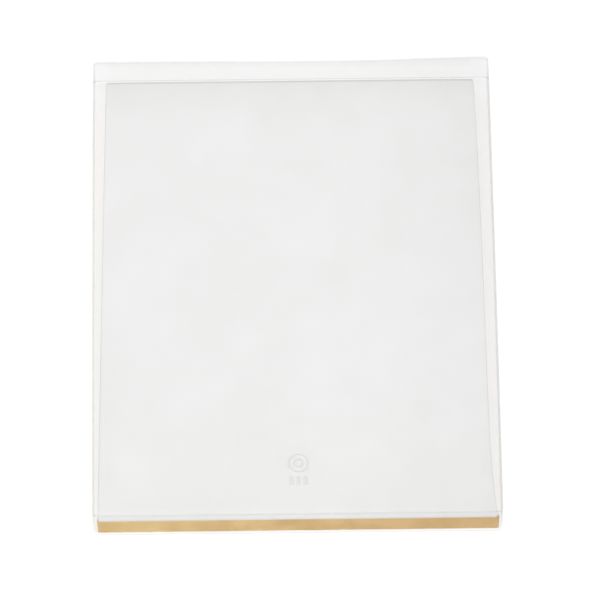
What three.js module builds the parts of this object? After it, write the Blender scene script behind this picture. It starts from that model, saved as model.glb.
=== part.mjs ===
// Wet palette: a clear tray, a damp sponge, a pack of palette sheets and a clear lid that telescopes over the tray.
// Millimetres. X is the width, Y the length, Z up. The tray stands on z = 0.
import * as THREE from "three";

// Driving dimensions
const WIDTH = 198.8; // over the lid's flange
const LENGTH = 250; // over the lid's flange
const HEIGHT = 24; // floor to the lid's top
const FILM = 0.3; // thickness of the formed plastic
const FIT_GAP = 0.1; // clearance between pieces that nest
const CORNER_STEPS = 6; // segments in each rounded corner

// Lid
const LID = {
  rimZ: 0.5, // underside of the flange
  flange: 0.15, // how far the flange stands out from the wall
  draft: 0.2, // how far the wall leans in over its height
  corner: 2.4, // plan radius of the flange's corners
  topRound: 2, // radius where the wall turns into the top
};

// Tray
const TRAY = {
  height: 21.6,
  draft: 0.1, // how far the wall leans out over its height
  floorRound: 0.9, // radius where the floor turns into the wall
};

// Sponge and sheets share one outline, a little narrower at the far end
const PAD = {
  nearY: -123.8,
  farY: 117.2,
  corner: 1.2,
  sideSteps: 12,
};
const SPONGE_Z = [0.4, 13.2];
const SPONGE_EDGE = 0.5; // radius of the sponge's worn edges
const SHEET_COUNT = 10;
const SHEET_THICKNESS = 0.1;
const SHEET_GAP = 0.05; // air between two sheets
const SHEET_INSET = 0.15;

const PLASTIC = { color: 0xe9eded, roughness: 0.08, metalness: 0, transparent: true, opacity: 0.3 };
const SPONGE_LOOK = { color: 0xcda56b, roughness: 0.95, metalness: 0 };
const PAPER_LOOK = { color: 0xf1f0ec, roughness: 0.85, metalness: 0 };

// A rounded rectangle, counter-clockwise, as points at height z.
function roundedRing(halfX, halfY, radius, z) {
  const corners = [
    [halfX - radius, halfY - radius, 0],
    [radius - halfX, halfY - radius, 1],
    [radius - halfX, radius - halfY, 2],
    [halfX - radius, radius - halfY, 3],
  ];
  const points = [];
  for (const [cx, cy, quarter] of corners) {
    for (let i = 0; i <= CORNER_STEPS; i++) {
      const a = (quarter + i / CORNER_STEPS) * (Math.PI / 2);
      points.push([cx + radius * Math.cos(a), cy + radius * Math.sin(a), z]);
    }
  }
  return points;
}

// The pad's half width on the right, from v = 0 at the near end to v = 1 at the far end.
function padRight(v) {
  return 91.5 + 2.2 * (1 - v ** 3) + 3.2 * (1 - v) ** 10;
}

// The pad's half width on the left.
function padLeft(v) {
  return 92.8 + 3.8 * (1 - v ** 1.2);
}

// The pad's outline pulled in by inset, counter-clockwise from the near right corner.
function padRing(inset, z) {
  const nearY = PAD.nearY + inset;
  const farY = PAD.farY - inset;
  const r = PAD.corner;
  const points = [];
  const side = (halfWidth, sign, v) => {
    const y = nearY + r + v * (farY - nearY - 2 * r);
    points.push([sign * (halfWidth(v) - inset), y, z]);
  };
  const corner = (cx, cy, quarter) => {
    for (let i = 1; i < CORNER_STEPS; i++) {
      const a = (quarter + i / CORNER_STEPS) * (Math.PI / 2);
      points.push([cx + r * Math.cos(a), cy + r * Math.sin(a), z]);
    }
  };
  for (let i = 0; i <= PAD.sideSteps; i++) side(padRight, 1, i / PAD.sideSteps);
  corner(padRight(1) - inset - r, farY - r, 0);
  points.push([padRight(1) - inset - r, farY, z], [r + inset - padLeft(1), farY, z]);
  corner(r + inset - padLeft(1), farY - r, 1);
  for (let i = PAD.sideSteps; i >= 0; i--) side(padLeft, -1, i / PAD.sideSteps);
  corner(r + inset - padLeft(0), nearY + r, 2);
  points.push([r + inset - padLeft(0), nearY, z], [padRight(0) - inset - r, nearY, z]);
  corner(padRight(0) - inset - r, nearY + r, 3);
  return points;
}

// A closed solid through rings of equal length, capped at the first and the last ring.
function loft(rings) {
  const count = rings[0].length;
  const positions = rings.flat(2);
  const index = [];
  for (let k = 0; k + 1 < rings.length; k++) {
    for (let i = 0; i < count; i++) {
      const j = (i + 1) % count;
      const a = k * count;
      const b = a + count;
      index.push(a + i, a + j, b + j, a + i, b + j, b + i);
    }
  }
  for (const [k, turned] of [[0, true], [rings.length - 1, false]]) {
    const centre = positions.length / 3;
    positions.push(0, 0, rings[k][0][2]);
    for (let i = 0; i < count; i++) {
      const a = k * count + i;
      const b = k * count + ((i + 1) % count);
      index.push(centre, turned ? b : a, turned ? a : b);
    }
  }
  const geometry = new THREE.BufferGeometry();
  geometry.setAttribute("position", new THREE.Float32BufferAttribute(positions, 3));
  geometry.setIndex(index);
  geometry.computeVertexNormals();
  return geometry;
}

// Rings round a quarter-circle edge, from the wall (t = 0) to the flat (t = 1).
function edgeRings(halfX, halfY, corner, wallZ, radius, up) {
  const steps = 4;
  const rings = [];
  for (let i = 0; i <= steps; i++) {
    const a = (i / steps) * (Math.PI / 2);
    const inset = radius * (1 - Math.cos(a));
    const z = wallZ + up * radius * Math.sin(a);
    rings.push(roundedRing(halfX - inset, halfY - inset, corner - inset, z));
  }
  return rings;
}

// The lid: inside top, down the inner wall, round the flange, up the outer wall, outside top.
function lidGeometry() {
  const wallX = WIDTH / 2 - LID.flange;
  const wallY = LENGTH / 2 - LID.flange;
  const corner = LID.corner - LID.flange;
  const topX = wallX - LID.draft;
  const topY = wallY - LID.draft;
  const innerRound = LID.topRound - FILM;
  const innerEdge = edgeRings(
    topX - FILM, topY - FILM, corner - FILM, HEIGHT - LID.topRound, innerRound, 1,
  ).reverse();
  const outerEdge = edgeRings(topX, topY, corner, HEIGHT - LID.topRound, LID.topRound, 1);
  return loft([
    ...innerEdge,
    roundedRing(wallX - FILM, wallY - FILM, corner - FILM, LID.rimZ),
    roundedRing(WIDTH / 2, LENGTH / 2, LID.corner, LID.rimZ),
    roundedRing(WIDTH / 2, LENGTH / 2, LID.corner, LID.rimZ + FILM),
    roundedRing(wallX, wallY, corner, LID.rimZ + FILM),
    ...outerEdge,
  ]);
}

// The tray: outside floor, up the outer wall, over the rim, down the inner wall, inside floor.
function trayGeometry() {
  const lean = LID.draft * (TRAY.height / HEIGHT);
  const rimX = WIDTH / 2 - LID.flange - FILM - lean - FIT_GAP;
  const rimY = LENGTH / 2 - LID.flange - FILM - lean - FIT_GAP;
  const baseX = rimX - TRAY.draft;
  const baseY = rimY - TRAY.draft;
  const corner = LID.corner - LID.flange - FILM - FIT_GAP;
  const innerRound = TRAY.floorRound - FILM;
  const outerEdge = edgeRings(baseX, baseY, corner, TRAY.floorRound, TRAY.floorRound, -1).reverse();
  const innerEdge = edgeRings(
    baseX - FILM, baseY - FILM, corner - FILM, TRAY.floorRound, innerRound, -1,
  );
  return loft([
    ...outerEdge,
    roundedRing(rimX, rimY, corner, TRAY.height),
    roundedRing(rimX - FILM, rimY - FILM, corner - FILM, TRAY.height),
    ...innerEdge,
  ]);
}

// The sponge, with worn edges top and bottom.
function spongeGeometry() {
  const [low, high] = SPONGE_Z;
  return loft([
    padRing(SPONGE_EDGE, low),
    padRing(0, low + SPONGE_EDGE),
    padRing(0, high - SPONGE_EDGE),
    padRing(SPONGE_EDGE, high),
  ]);
}

// Sheet number i of the pack, counted from the bottom.
function sheetGeometry(i) {
  const z = SPONGE_Z[1] + SHEET_GAP + i * (SHEET_THICKNESS + SHEET_GAP);
  return loft([padRing(SHEET_INSET, z), padRing(SHEET_INSET, z + SHEET_THICKNESS)]);
}

function addPart(group, name, geometry, look) {
  const mesh = new THREE.Mesh(geometry, new THREE.MeshStandardMaterial(look));
  mesh.name = name;
  group.add(mesh);
}

function buildPalette() {
  const group = new THREE.Group();
  group.name = "wet_palette";
  addPart(group, "tray", trayGeometry(), PLASTIC);
  addPart(group, "sponge", spongeGeometry(), SPONGE_LOOK);
  for (let i = 0; i < SHEET_COUNT; i++) {
    const number = String(i + 1).padStart(2, "0");
    addPart(group, `palette_sheet_${number}`, sheetGeometry(i), PAPER_LOOK);
  }
  addPart(group, "lid", lidGeometry(), PLASTIC);
  return group;
}

export default buildPalette();
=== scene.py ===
"""The wet palette's looks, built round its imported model: clear tray and lid, sponge and palette sheets."""
import math
import random

import bmesh
import bpy
from mathutils import Matrix, Vector, noise


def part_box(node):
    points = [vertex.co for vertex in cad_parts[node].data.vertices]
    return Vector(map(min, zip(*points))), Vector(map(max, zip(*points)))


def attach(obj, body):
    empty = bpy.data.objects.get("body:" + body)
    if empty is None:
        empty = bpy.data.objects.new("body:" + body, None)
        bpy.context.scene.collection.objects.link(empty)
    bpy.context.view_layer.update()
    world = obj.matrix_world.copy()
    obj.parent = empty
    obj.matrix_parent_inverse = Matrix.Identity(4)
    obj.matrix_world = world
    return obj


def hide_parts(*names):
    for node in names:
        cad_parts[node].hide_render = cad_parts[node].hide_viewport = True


MM = 0.001

# Camera, as a long lens that looks steeply down on the box
LENS_MM = 343.0
SENSOR_MM = 36.0
CAMERA_DISTANCE = 2.826
TILT_FROM_VERTICAL = 26.3  # degrees
TURN = 1.2  # degrees about the vertical
ROLL = 0.42  # degrees
TARGET = (0.0029, 0.0011, 0.0)

FLOOR_HALF = 3.0
FLOOR_Z = -0.2 * MM
FLOOR_GLOW = 0.84  # the floor gives off light, so that it stays white close to the box

# Clear film: the share it mirrors, head on and edge on
FILM_MIRROR = (0.014, 0.6)
MARK_MIRROR = (0.05, 0.6)

# Clear film: the share it lets through, by slant from head on (0) to edge on (1)
LID_TINT = [(0.0, 0.976), (0.7, 0.976), (0.92, 0.945), (1.0, 0.82)]
# The tray's floor is set darker than its walls, to fit the greys seen through them
TRAY_TINT = [(0.0, 0.96), (0.3, 0.963), (0.5, 0.994), (0.7, 0.99), (0.92, 0.945), (1.0, 0.82)]
RIM_TINT = [(0.0, 0.99), (1.0, 0.9)]
FLANGE_TINT = [(0.0, 0.94), (1.0, 0.72)]
MARK_TINT = [(0.0, 0.945), (0.16, 0.93), (0.5, 0.84), (1.0, 0.7)]
FILM_HUE = (0.9985, 0.9995, 1.0)

# Fitted tones, each faded in over a stretch, in metres: axis, from, to, tone
# Painted shade on the clear film: a little darker along its far edge and towards the right side
FILM_PAINTED_SHADE = (
    ("Y", 0.118, 0.123, (0.99, 0.99, 0.99)),
    ("X", 0.0, 0.09, (0.995, 0.995, 0.995)),
)
# Painted shade on the paper: darker towards the far edge, with a painted shadow line along that edge, and a
# little darker towards the near end and the right side
PAPER_PAINTED_SHADE = (
    ("Y", 0.085, 0.115, (0.975, 0.975, 0.97)),
    ("Y", 0.1155, 0.1168, (0.8, 0.8, 0.8)),
    ("Y", -0.05, -0.115, (0.985, 0.985, 0.98)),
    ("X", 0.03, 0.092, (0.985, 0.985, 0.985)),
)
SPONGE_TONES = (("X", -0.09, 0.09, (0.89, 0.81, 0.76)),)

# Formed plastic, in millimetres
CORNER_STEPS = 5
FILM = 0.3
FLANGE = 0.15
LID_DRAFT = 0.2
LID_CORNER = 2.4
LID_TOP_ROUND = 2.0
TRAY_DRAFT = 0.1
TRAY_CORNER = 1.85
TRAY_FLOOR_ROUND = 0.9
RIM_ROUND = 0.07
SIDE_BOW = 0.35  # how far the long walls belly out
END_BOW = 0.12
FAR_SAG = 0.7  # how far the far edge draws in near its middle, and on the lid also sags
FAR_SAG_CENTRE = 10
FAR_SAG_REACH = 70
FAR_FROM = 0.55  # the share of the half length where the far edge's bends begin
FAR_PULL = 0.8  # how far the top of the far right corner is pulled outwards
FAR_PULL_FROM, FAR_PULL_REACH = 40, 50
RIPPLE = 0.12
RIPPLE_SIZE = 55
SHELL_FINE = (0, 1, 3, 6, 10)  # places of the tray's first grid lines, from each end
SHELL_STEP = 8
WALL_STEPS = 6
LID_STEP = 6.0

# Mark formed in the lid's top
MARK_CENTRE = (0.6, -101.0)
MARK_REACH = (6.5, 11.4)  # half the size of the finely gridded patch it lies in
MARK_STEP = 0.3
MARK_RING_UP = 2.0
MARK_RINGS = (4.6, 2.0)
MARK_LINE = 0.6
MARK_HEIGHT = 0.3
MARK_BARS = (-3.4, 0.0, 3.4)
MARK_BAR_HALF = 1.8
MARK_BAR_WIDTH = 1.7  # times the rings' line
MARK_BAR_DROP = 9.4

# Pad
PAD_GRID_SIZE = (190, 236)  # its rough width and length, which space its grid lines
PAD_CORNER = 1.2
NEAR_FLARE = (0.7, 1.2)  # how far the sponge's near corners stand out, left and right
FLARE_LENGTH = 1.5
SPONGE_EDGE = 0.5
SPONGE_FINE = (0, 0.8, 1.8)
SPONGE_STEP = 2.2
PIT_DEPTH = 0.1
PIT_SIZE = 3
SHEET_FINE = (0, 0.6, 1.4, 2.6, 4.5, 7.5, 12)
SHEET_STEP = 12
SHEET_INSET = 0.15  # of a spare sheet, at least. The top sheet takes its inset from CAD
SHEET_INSET_SPREAD = 0.12
SHEET_SHIFT_X, SHEET_SHIFT_Y = 0.1, 0.08  # how far a sheet may lie off its place
SHEET_THICKNESS = 0.14  # more than in CAD, so that no dark gap shows between two sheets
SHEET_COUNT = 10
FAR_CURL = (1.3, 8.0)  # drop at the far edge, and the distance it fades over
SIDE_CURL = (0.35, 3.5)
SEED = 7


def smooth(x):
    x = min(1.0, max(0.0, x))
    return x * x * (3 - 2 * x)


# ---------------------------------------------------------------- camera, light and floor

def add_camera():
    data = bpy.data.cameras.new("camera")
    data.lens = LENS_MM
    data.sensor_width = SENSOR_MM
    data.clip_end = 50
    camera = bpy.data.objects.new("camera", data)
    bpy.context.scene.collection.objects.link(camera)
    tilt, turn, roll = (math.radians(a) for a in (TILT_FROM_VERTICAL, TURN, ROLL))
    heading = Vector((math.sin(turn), math.cos(turn), 0))
    forward = heading * math.sin(tilt) - Vector((0, 0, math.cos(tilt)))
    level_up = heading * math.cos(tilt) + Vector((0, 0, math.sin(tilt)))
    level_right = forward.cross(level_up)
    right = level_right * math.cos(roll) + level_up * math.sin(roll)
    up = level_up * math.cos(roll) - level_right * math.sin(roll)
    matrix = Matrix((right, up, -forward)).transposed().to_4x4()
    matrix.translation = Vector(TARGET) - forward * CAMERA_DISTANCE
    camera.matrix_world = matrix
    bpy.context.scene.camera = camera


def add_world():
    world = bpy.data.worlds.new("studio")
    bpy.context.scene.world = world
    world.use_nodes = True
    nodes, links = world.node_tree.nodes, world.node_tree.links
    background = nodes["Background"]
    place = nodes.new("ShaderNodeTexCoord")
    split = nodes.new("ShaderNodeSeparateXYZ")
    ramp = nodes.new("ShaderNodeValToRGB")
    ramp.color_ramp.elements[0].position = 0.0
    ramp.color_ramp.elements[0].color = (0.5, 0.5, 0.505, 1)
    ramp.color_ramp.elements[1].position = 0.6
    ramp.color_ramp.elements[1].color = (1, 1, 1, 1)
    links.new(place.outputs["Generated"], split.inputs[0])
    links.new(split.outputs["Z"], ramp.inputs[0])
    links.new(ramp.outputs[0], background.inputs["Color"])
    background.inputs["Strength"].default_value = 0.95


def add_softbox(name, place, aim, size, power):
    data = bpy.data.lights.new(name, "AREA")
    data.shape = "RECTANGLE"
    data.size, data.size_y = size
    data.energy = power
    light = bpy.data.objects.new(name, data)
    bpy.context.scene.collection.objects.link(light)
    light.location = place
    light.rotation_euler = (Vector(aim) - Vector(place)).to_track_quat("-Z", "Y").to_euler()


def add_floor(material):
    mesh = bpy.data.meshes.new("floor")
    corners = ((-1, -1), (1, -1), (1, 1), (-1, 1))
    mesh.from_pydata([(x * FLOOR_HALF, y * FLOOR_HALF, FLOOR_Z) for x, y in corners], [], [(0, 1, 2, 3)])
    floor = bpy.data.objects.new("floor", mesh)
    bpy.context.scene.collection.objects.link(floor)
    mesh.materials.append(material)


# ---------------------------------------------------------------- materials

def new_material(name):
    material = bpy.data.materials.new(name)
    material.use_nodes = True
    tree = material.node_tree
    return material, tree.nodes, tree.links, tree.nodes["Principled BSDF"]


def noise_node(nodes, links, scale, detail=4.0, roughness=0.55, distortion=0.0):
    place = nodes.new("ShaderNodeTexCoord")
    tex = nodes.new("ShaderNodeTexNoise")
    tex.inputs["Scale"].default_value = scale
    tex.inputs["Detail"].default_value = detail
    tex.inputs["Roughness"].default_value = roughness
    tex.inputs["Distortion"].default_value = distortion
    links.new(place.outputs["Object"], tex.inputs["Vector"])
    return tex


def ramp_node(nodes, links, source, stops):
    ramp = nodes.new("ShaderNodeValToRGB")
    elements = ramp.color_ramp.elements
    while len(elements) < len(stops):
        elements.new(0.5)
    for element, (position, colour) in zip(elements, stops):
        element.position = position
        element.color = (*colour, 1)
    links.new(source, ramp.inputs[0])
    return ramp


def bump_node(nodes, links, height, shader, distance, strength):
    bump = nodes.new("ShaderNodeBump")
    bump.inputs["Distance"].default_value = distance
    bump.inputs["Strength"].default_value = strength
    links.new(height, bump.inputs["Height"])
    links.new(bump.outputs[0], shader.inputs["Normal"])


def grey(value):
    return (value, value, value)


def multiply_node(nodes, links, colour):
    """A node that darkens the colour by its second colour."""
    mix = nodes.new("ShaderNodeMix")
    mix.data_type = "RGBA"
    mix.blend_type = "MULTIPLY"
    links.new(colour, mix.inputs[6])
    return mix


def toned(nodes, links, colour, stretches):
    """The colour with each tone faded in over its stretch."""
    place = nodes.new("ShaderNodeTexCoord")
    split = nodes.new("ShaderNodeSeparateXYZ")
    links.new(place.outputs["Object"], split.inputs[0])
    for axis, start, end, tone in stretches:
        fade = nodes.new("ShaderNodeMapRange")
        fade.interpolation_type = "SMOOTHSTEP"
        fade.inputs["From Min"].default_value = start
        fade.inputs["From Max"].default_value = end
        links.new(split.outputs[axis], fade.inputs["Value"])
        mix = multiply_node(nodes, links, colour)
        links.new(fade.outputs[0], mix.inputs["Factor"])
        mix.inputs[7].default_value = (*tone, 1)
        colour = mix.outputs[2]
    return colour


def film_material(name, tints, mirror=FILM_MIRROR):
    """Thin clear film: light goes straight through it, and it mirrors more at a slant."""
    material, nodes, links, shader = new_material(name)
    nodes.remove(shader)
    facing = nodes.new("ShaderNodeLayerWeight")
    facing.inputs["Blend"].default_value = 0.5
    power = nodes.new("ShaderNodeMath")
    power.operation = "POWER"
    power.inputs[1].default_value = 8.0
    links.new(facing.outputs["Facing"], power.inputs[0])
    mirrored = nodes.new("ShaderNodeMapRange")
    mirrored.inputs["To Min"].default_value, mirrored.inputs["To Max"].default_value = mirror
    links.new(power.outputs[0], mirrored.inputs["Value"])
    stops = [(at, [value * part for part in FILM_HUE]) for at, value in tints]
    tint = ramp_node(nodes, links, facing.outputs["Facing"], stops)
    clear = nodes.new("ShaderNodeBsdfTransparent")
    # the film's see-through colour carries painted shade: darker along the far edge and towards the right
    links.new(toned(nodes, links, tint.outputs[0], FILM_PAINTED_SHADE), clear.inputs["Color"])
    gloss = nodes.new("ShaderNodeBsdfGlossy")
    gloss.inputs["Color"].default_value = (0.95, 0.95, 0.95, 1)
    scuffs = noise_node(nodes, links, 90, detail=8, roughness=0.7)
    worn = ramp_node(nodes, links, scuffs.outputs[0], [(0.45, grey(0.03)), (0.75, grey(0.12))])
    links.new(worn.outputs[0], gloss.inputs["Roughness"])
    ripples = noise_node(nodes, links, 25, detail=2)
    bump_node(nodes, links, ripples.outputs[0], gloss, 0.0004, 0.25)
    film = nodes.new("ShaderNodeMixShader")
    links.new(mirrored.outputs[0], film.inputs[0])
    links.new(clear.outputs[0], film.inputs[1])
    links.new(gloss.outputs[0], film.inputs[2])
    links.new(film.outputs[0], nodes["Material Output"].inputs["Surface"])
    return material


def sponge_material():
    """Tan cellulose sponge: mottled, with fine open pores."""
    material, nodes, links, shader = new_material("sponge")
    mottle = noise_node(nodes, links, 45, detail=6, roughness=0.6)
    colour = ramp_node(
        nodes, links, mottle.outputs[0],
        [(0.4, (0.7, 0.448, 0.143)), (0.5, (0.77, 0.52, 0.182)), (0.6, (0.82, 0.575, 0.221))],
    )
    place = nodes.new("ShaderNodeTexCoord")
    pores = nodes.new("ShaderNodeTexVoronoi")
    pores.inputs["Scale"].default_value = 900
    links.new(place.outputs["Object"], pores.inputs["Vector"])
    depth = ramp_node(nodes, links, pores.outputs["Distance"], [(0.1, grey(0.55)), (0.4, grey(1.0))])
    pored = multiply_node(nodes, links, colour.outputs[0])
    pored.inputs["Factor"].default_value = 0.35
    links.new(depth.outputs[0], pored.inputs[7])
    links.new(toned(nodes, links, pored.outputs[2], SPONGE_TONES), shader.inputs["Base Color"])
    shader.inputs["Roughness"].default_value = 0.92
    bump_node(nodes, links, depth.outputs[0], shader, 0.0003, 0.7)
    return material


def paper_material():
    """White palette paper: cloudy fibres, a fine tooth and a few dark fibre specks."""
    material, nodes, links, shader = new_material("palette_paper")
    cloud = noise_node(nodes, links, 30, detail=8, roughness=0.65)
    colour = ramp_node(
        nodes, links, cloud.outputs[0],
        [(0.35, (0.854, 0.854, 0.842)), (0.65, (0.885, 0.884, 0.877))],
    )
    place = nodes.new("ShaderNodeTexCoord")
    cells = nodes.new("ShaderNodeTexVoronoi")
    cells.inputs["Scale"].default_value = 17
    links.new(place.outputs["Object"], cells.inputs["Vector"])
    speck = ramp_node(nodes, links, cells.outputs["Distance"], [(0.008, grey(0.35)), (0.016, grey(1.0))])
    specked = multiply_node(nodes, links, colour.outputs[0])
    specked.inputs["Factor"].default_value = 1.0
    links.new(speck.outputs[0], specked.inputs[7])
    # painted shade: the paper darkens towards its far edge, with a shadow line along it, and towards the
    # near end and the right side
    links.new(toned(nodes, links, specked.outputs[2], PAPER_PAINTED_SHADE), shader.inputs["Base Color"])
    shader.inputs["Roughness"].default_value = 0.75
    tooth = noise_node(nodes, links, 900, detail=6, roughness=0.7)
    bump_node(nodes, links, tooth.outputs[0], shader, 0.0001, 0.25)
    return material


def floor_material():
    material, nodes, links, shader = new_material("floor")
    cloud = noise_node(nodes, links, 3)
    colour = ramp_node(nodes, links, cloud.outputs[0], [(0.3, grey(0.24)), (0.7, grey(0.26))])
    links.new(colour.outputs[0], shader.inputs["Base Color"])
    shader.inputs["Roughness"].default_value = 0.9
    shader.inputs["Emission Color"].default_value = (1, 1, 1, 1)
    shader.inputs["Emission Strength"].default_value = FLOOR_GLOW
    return material


# ---------------------------------------------------------------- mesh tools, in millimetres

def spaced(length, fine, step):
    """Fractions from 0 to 1 along length: the fine offsets at both ends, and even steps between."""
    start = fine[-1]
    count = max(2, round((length - 2 * start) / step))
    middle = [start + (length - 2 * start) * i / count for i in range(1, count)]
    return [d / length for d in [*fine, *middle, *(length - d for d in reversed(fine))]]


def outline_grid(left, right, near, far, radius, across, along):
    """Rows of (x, y) that fill a four-sided outline with round corners.

    left and right give the sides' x at v, which runs from 0 at the near end to 1 at the far end.
    """
    angles = [math.pi / 2 * k / CORNER_STEPS for k in range(CORNER_STEPS)]
    ends = [(radius * (1 - math.cos(a)), radius * (1 - math.sin(a))) for a in angles]
    rows = [(near + end, cut) for end, cut in ends]
    rows += [(near + radius + t * (far - near - 2 * radius), 0.0) for t in along]
    rows += [(far - end, cut) for end, cut in reversed(ends)]
    grid = []
    for y, cut in rows:
        v = (y - near) / (far - near)
        low, high = left(v) + cut, right(v) - cut
        grid.append([(low + (high - low) * u, y) for u in across])
    return grid


def box_grid(half_x, half_y, radius, across, along):
    return outline_grid(lambda v: -half_x, lambda v: half_x, -half_y, half_y, radius, across, along)


def border(grid):
    """The grid's border points, counter-clockwise."""
    near, far = grid[0], grid[-1]
    right = [row[-1] for row in grid[1:-1]]
    left = [row[0] for row in grid[1:-1]]
    return [*near, *right, *reversed(far), *reversed(left)]


def closed_mesh(name, first, loops, last):
    """A closed mesh through a grid of points, loops as long as its border, and a last grid."""
    vertices, faces = [], []

    def add_grid(grid):
        base = len(vertices)
        across = len(grid[0])
        for row in grid:
            vertices.extend(row)
        for r in range(len(grid) - 1):
            for c in range(across - 1):
                a = base + r * across + c
                faces.append((a, a + 1, a + across + 1, a + across))
        index = [[base + r * across + c for c in range(across)] for r in range(len(grid))]
        return border(index)

    rings = [add_grid(first)]
    for loop in loops:
        rings.append(list(range(len(vertices), len(vertices) + len(loop))))
        vertices.extend(loop)
    rings.append(add_grid(last))
    for low, high in zip(rings, rings[1:]):
        for i in range(len(low)):
            j = (i + 1) % len(low)
            faces.append((low[i], low[j], high[j], high[i]))
    mesh = bpy.data.meshes.new(name)
    mesh.from_pydata([Vector(p) * MM for p in vertices], [], faces)
    shape = bmesh.new()
    shape.from_mesh(mesh)
    bmesh.ops.recalc_face_normals(shape, faces=shape.faces)
    shape.to_mesh(mesh)
    shape.free()
    mesh.shade_smooth()
    piece = bpy.data.objects.new(name, mesh)
    bpy.context.scene.collection.objects.link(piece)
    return piece


def lifted(points, height):
    return [(x, y, height(x, y)) for x, y in points]


def edge_steps(radius, count=6):
    """(inset, rise) round a quarter circle from the wall to the flat."""
    angles = [math.pi / 2 * i / count for i in range(count + 1)]
    return [(radius * (1 - math.cos(a)), radius * math.sin(a)) for a in angles]


# ---------------------------------------------------------------- clear shells

def far_dip(x):
    """How much of the far edge's sag reaches this far across: most near the middle."""
    return math.exp(-(((x - FAR_SAG_CENTRE) / FAR_SAG_REACH) ** 2))


def far_share(y, half_y):
    """How much of the far edge's bends reaches this far along: none short of FAR_FROM."""
    return smooth((y / half_y - FAR_FROM) / (1 - FAR_FROM))


def bowed(point, size):
    """Formed walls belly out. The far one draws in near its middle and pulls out at its right corner."""
    x, y, z = point
    half_x, half_y, height = size
    rise = math.sin(math.pi * min(1.0, max(0.0, z / height)))
    side = max(0.0, 1 - (y / half_y) ** 2) * (0.4 + 0.6 * rise)
    end = max(0.0, 1 - (x / half_x) ** 2) * rise
    pull = FAR_PULL * smooth((x - FAR_PULL_FROM) / FAR_PULL_REACH) - FAR_SAG * far_dip(x)
    pull *= smooth(z / height) * far_share(y, half_y)
    return (x + SIDE_BOW * side * (x / half_x) ** 3, y + END_BOW * end * (y / half_y) ** 3 + pull, z)


def mark_height(x, y):
    """The formed mark: two rings over three short upright bars."""
    px, py = x - MARK_CENTRE[0], y - MARK_CENTRE[1]
    reach = math.hypot(px, py - MARK_RING_UP)
    distance = min(abs(reach - radius) for radius in MARK_RINGS)
    for place in MARK_BARS:
        along = max(0.0, abs(py - MARK_RING_UP + MARK_BAR_DROP) - MARK_BAR_HALF)
        distance = min(distance, math.hypot(px - place, along) / MARK_BAR_WIDTH)
    return MARK_HEIGHT * (1 - smooth(distance / MARK_LINE - 0.3))


def lid_point(point, size):
    """A point of the formed lid: bowed walls, a far edge that sags, ripples and the mark in the top."""
    x, y, z = point
    half_x, half_y, height = size
    ripple = RIPPLE * noise.noise(Vector((x / RIPPLE_SIZE, y / RIPPLE_SIZE, 3.1)))
    sag = FAR_SAG * far_share(y, half_y) * far_dip(x)
    mark = mark_height(x, y) if z > height - 1 else 0.0
    return bowed((x, y, z + smooth(z / height) * (ripple - sag) + mark), size)


def lid_lines(half, centre, reach):
    """Where the lid's grid lines run, from 0 to 1: close together at the mark, wide elsewhere."""
    low, high = centre - reach, centre + reach
    before = max(2, round((low + half) / LID_STEP))
    inside = round(2 * reach / MARK_STEP)
    after = max(2, round((half - high) / LID_STEP))
    marks = [-half + (low + half) * i / before for i in range(before)]
    marks += [low + (high - low) * i / inside for i in range(inside)]
    marks += [high + (half - high) * i / after for i in range(after + 1)]
    return [(m + half) / (2 * half) for m in marks]


def make_lid(film, flange_film, mark_film):
    low, high = (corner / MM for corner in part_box("lid"))
    half_x, half_y = high.x, high.y
    rim, top = low.z, high.z
    wall_x, wall_y = half_x - FLANGE, half_y - FLANGE
    corner = LID_CORNER - FLANGE
    across, along = (lid_lines(*line) for line in zip((wall_x, wall_y), MARK_CENTRE, MARK_REACH))
    size = (half_x, half_y, top)

    def wall_loop(inset, radius, z):
        grid = box_grid(wall_x - inset, wall_y - inset, radius, across, along)
        return [lid_point((x, y, z), size) for x, y in border(grid)]

    def rising(offset, start_z, start_inset):
        """Loops up the wall and round the top edge. offset is 0 outside, and FILM inside."""
        radius = LID_TOP_ROUND - offset
        loops = []
        for i in range(WALL_STEPS):
            t = i / WALL_STEPS
            z = start_z + (top - LID_TOP_ROUND - start_z) * t
            loops.append(wall_loop(offset + LID_DRAFT * t, corner - offset, z))
        for inset, rise in edge_steps(radius)[:-1]:
            z = top - LID_TOP_ROUND + rise
            loops.append(wall_loop(offset + LID_DRAFT + inset, corner - offset - inset, z))
        return loops

    def panel(offset):
        inset = LID_DRAFT + LID_TOP_ROUND
        grid = box_grid(wall_x - inset, wall_y - inset, corner - LID_TOP_ROUND, across, along)
        return [[lid_point((x, y, top - offset), size) for x, y in row] for row in grid]

    flange_grid = box_grid(half_x, half_y, LID_CORNER, across, along)
    flange = border(flange_grid)
    loops = rising(FILM, rim + 0.1, FILM)[::-1]
    loops.append(wall_loop(FILM - 0.06, corner - FILM, rim))
    loops.append([lid_point((x, y, rim), size) for x, y in flange])
    loops.append([lid_point((x, y, rim + FILM), size) for x, y in flange])
    loops.append(wall_loop(-0.05, corner, rim + FILM))
    loops += rising(0.0, rim + FILM + 0.1, 0.0)
    lid = closed_mesh("clear_lid", panel(FILM), loops, panel(0.0))
    for material in (film, flange_film, mark_film):
        lid.data.materials.append(material)
    for face in lid.data.polygons:
        x, y, z = face.center / MM
        if z < rim + FILM + 0.02:
            face.material_index = 1
        elif z > top - 1 and mark_height(x, y) > 0.1 * MARK_HEIGHT:
            face.material_index = 2
    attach(lid, "lid")
    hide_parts("lid")


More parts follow.
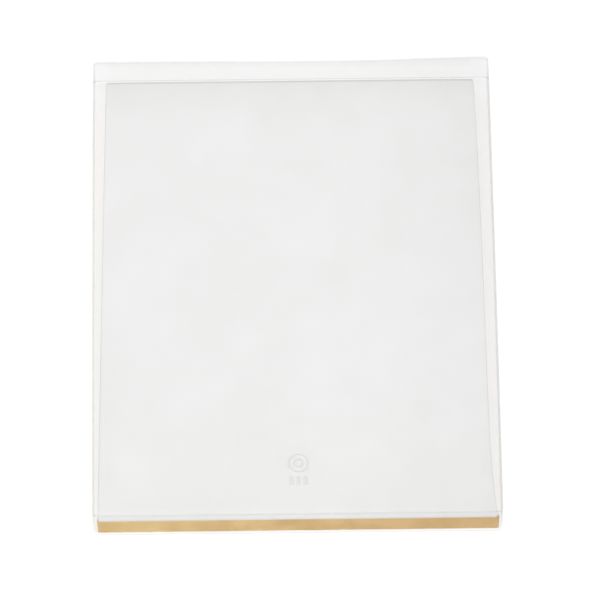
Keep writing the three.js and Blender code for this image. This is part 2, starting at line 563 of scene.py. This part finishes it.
def make_tray(film, rim_film):
    rim_x, rim_y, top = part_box("tray")[1] / MM
    across = spaced(2 * rim_x, SHELL_FINE, SHELL_STEP)
    along = spaced(2 * rim_y, SHELL_FINE, SHELL_STEP)
    lid_size = [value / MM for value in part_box("lid")[1]]

    def loop(inset, radius, z):
        grid = box_grid(rim_x - inset, rim_y - inset, radius, across, along)
        return [bowed((x, y, z), lid_size) for x, y in border(grid)]

    def wall(offset):
        """Loops from the floor's edge round its curve and up the wall to the rim."""
        radius = TRAY_FLOOR_ROUND - offset
        loops = []
        for inset, rise in reversed(edge_steps(radius)[:-1]):
            base = TRAY_DRAFT + offset + inset
            loops.append(loop(base, TRAY_CORNER - offset - inset, TRAY_FLOOR_ROUND - rise))
        for i in range(1, WALL_STEPS + 1):
            t = i / WALL_STEPS
            z = TRAY_FLOOR_ROUND + (top - 0.08 - TRAY_FLOOR_ROUND) * t
            loops.append(loop(offset + TRAY_DRAFT * (1 - t), TRAY_CORNER - offset, z))
        return loops

    def floor(offset):
        inset = TRAY_DRAFT + TRAY_FLOOR_ROUND
        grid = box_grid(rim_x - inset, rim_y - inset, TRAY_CORNER - TRAY_FLOOR_ROUND, across, along)
        return [[(x, y, offset) for x, y in row] for row in grid]

    rim = [loop(inset, TRAY_CORNER - inset, top) for inset in (RIM_ROUND, FILM - RIM_ROUND)]
    loops = [*wall(0.0), *rim, *reversed(wall(FILM))]
    tray = closed_mesh("clear_tray", floor(0.0), loops, floor(FILM))
    tray.data.materials.append(film)
    tray.data.materials.append(rim_film)
    for face in tray.data.polygons:
        if face.center.z > (top - 0.06) * MM:
            face.material_index = 1
    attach(tray, "tray")
    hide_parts("tray")


# ---------------------------------------------------------------- sponge and sheets

def pad_right(v):
    """The x of the pad's right side at v, from 0 at its near end to 1 at its far end."""
    return 91.5 + 2.2 * (1 - v ** 3) + 3.2 * (1 - v) ** 10


def pad_left(v):
    """The x of its left side."""
    return -(92.8 + 3.8 * (1 - v ** 1.2))


def pad_grid(near, far, inset, across, along):
    return outline_grid(
        lambda v: pad_left(min(1.0, max(0.0, v))) + inset,
        lambda v: pad_right(min(1.0, max(0.0, v))) - inset,
        near + inset, far - inset, PAD_CORNER, across, along,
    )


def pad_drop(x, y, near, far):
    """How far the pad and its paper sink towards the far edge and the sides."""
    v = (y - near) / (far - near)
    v = min(1.0, max(0.0, v))
    side = min(pad_right(v) - x, x - pad_left(v))
    return FAR_CURL[0] * math.exp(-max(0.0, far - y) / FAR_CURL[1]) + SIDE_CURL[0] * math.exp(
        -max(0.0, side) / SIDE_CURL[1]
    )


def make_sponge(material):
    low, high = (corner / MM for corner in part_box("sponge"))
    near, far = low.y, high.y
    across, along = (spaced(size, SPONGE_FINE, SPONGE_STEP) for size in PAD_GRID_SIZE)

    def rough(x, y, z):
        """Small dents in the cut faces, fine and coarse."""
        fine = noise.noise(Vector((x / 1.7, y / 1.7, z / 1.7)))
        coarse = noise.noise(Vector((x / 6, y / 6, z / 6)))
        pull = 1 - 0.0009 * (1 + fine + 0.6 * coarse)
        return (x * pull, y * pull, z)

    def flared(x, y):
        """The near corners stand out towards the tray's corners."""
        left, right = NEAR_FLARE
        flare = (right if x > 0 else -left) * math.exp((near - y) / FLARE_LENGTH)
        return x + flare * abs(x / high.x) ** 8

    def level(inset, z, top):
        loop = border(pad_grid(near, far, inset, across, along))
        return [rough(flared(x, y), y, z - top * pad_drop(x, y, near, far)) for x, y in loop]

    def pit(x, y, layer):
        return PIT_DEPTH * abs(noise.noise(Vector((x / PIT_SIZE, y / PIT_SIZE, layer))))

    flat = pad_grid(near, far, SPONGE_EDGE, across, along)
    bottom = [[(flared(x, y), y, low.z + pit(x, y, 0)) for x, y in row] for row in flat]
    surface = [
        [(flared(x, y), y, high.z - pad_drop(x, y, near, far) - pit(x, y, 9)) for x, y in row]
        for row in flat
    ]
    edges = edge_steps(SPONGE_EDGE, 3)
    loops = [level(inset, low.z + SPONGE_EDGE - rise, 0) for inset, rise in reversed(edges[:-1])]
    span = high.z - low.z - 2 * SPONGE_EDGE
    loops += [level(0, low.z + SPONGE_EDGE + span * i / 8, i / 8) for i in range(1, 8)]
    loops += [level(inset, high.z - SPONGE_EDGE + rise, 1) for inset, rise in edges[:-1]]
    sponge = closed_mesh("damp_sponge", bottom, loops, surface)
    sponge.data.materials.append(material)
    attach(sponge, "sponge")
    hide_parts("sponge")


def make_sheet(number, material, rng):
    node = f"palette_sheet_{number:02d}"
    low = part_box(node)[0] / MM
    sponge_low, sponge_high = (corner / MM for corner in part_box("sponge"))
    near, far = sponge_low.y, sponge_high.y
    across, along = (spaced(size, SHEET_FINE, SHEET_STEP) for size in PAD_GRID_SIZE)
    inset = low.y - near if number == SHEET_COUNT else SHEET_INSET + rng.uniform(0, SHEET_INSET_SPREAD)
    shift_x, shift_y = rng.uniform(-SHEET_SHIFT_X, SHEET_SHIFT_X), rng.uniform(0, SHEET_SHIFT_Y)
    grid = pad_grid(near, far, inset, across, along)
    grid = [[(x + shift_x, y + shift_y) for x, y in row] for row in grid]

    def height(level):
        return lambda x, y: level - pad_drop(x, y, near, far)

    bottom = [lifted(row, height(low.z)) for row in grid]
    top = [lifted(row, height(low.z + SHEET_THICKNESS)) for row in grid]
    sheet = closed_mesh(f"paper_{number:02d}", bottom, [], top)
    sheet.data.materials.append(material)
    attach(sheet, "top_sheet" if number == SHEET_COUNT else "spare_sheets")
    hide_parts(node)


# ---------------------------------------------------------------- the scene

add_camera()
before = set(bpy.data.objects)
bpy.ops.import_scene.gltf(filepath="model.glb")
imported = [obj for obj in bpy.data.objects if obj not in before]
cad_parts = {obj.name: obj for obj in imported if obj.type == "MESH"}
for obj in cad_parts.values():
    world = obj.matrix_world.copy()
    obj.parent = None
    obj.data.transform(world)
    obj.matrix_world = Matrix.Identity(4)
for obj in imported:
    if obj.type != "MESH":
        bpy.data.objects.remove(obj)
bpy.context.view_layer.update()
bpy.context.scene.view_settings.view_transform = "Standard"
bpy.context.scene.cycles.transparent_max_bounces = 32
add_world()
add_softbox("overhead_softbox", (-0.6, -0.5, 2.2), (0, 0, 0), (2.0, 2.0), 12)
add_softbox("front_softbox", (0.2, -2.2, 0.8), (0, 0, 0), (1.6, 1.0), 8)
add_floor(floor_material())

make_tray(film_material("clear_pet_tray", TRAY_TINT), film_material("clear_pet_rim", RIM_TINT))
make_sponge(sponge_material())
palette_paper = paper_material()
sheet_random = random.Random(SEED)
for sheet_number in range(1, SHEET_COUNT + 1):
    make_sheet(sheet_number, palette_paper, sheet_random)
make_lid(
    film_material("clear_pet_lid", LID_TINT),
    film_material("clear_pet_flange", FLANGE_TINT),
    film_material("clear_pet_mark", MARK_TINT, MARK_MIRROR),
)
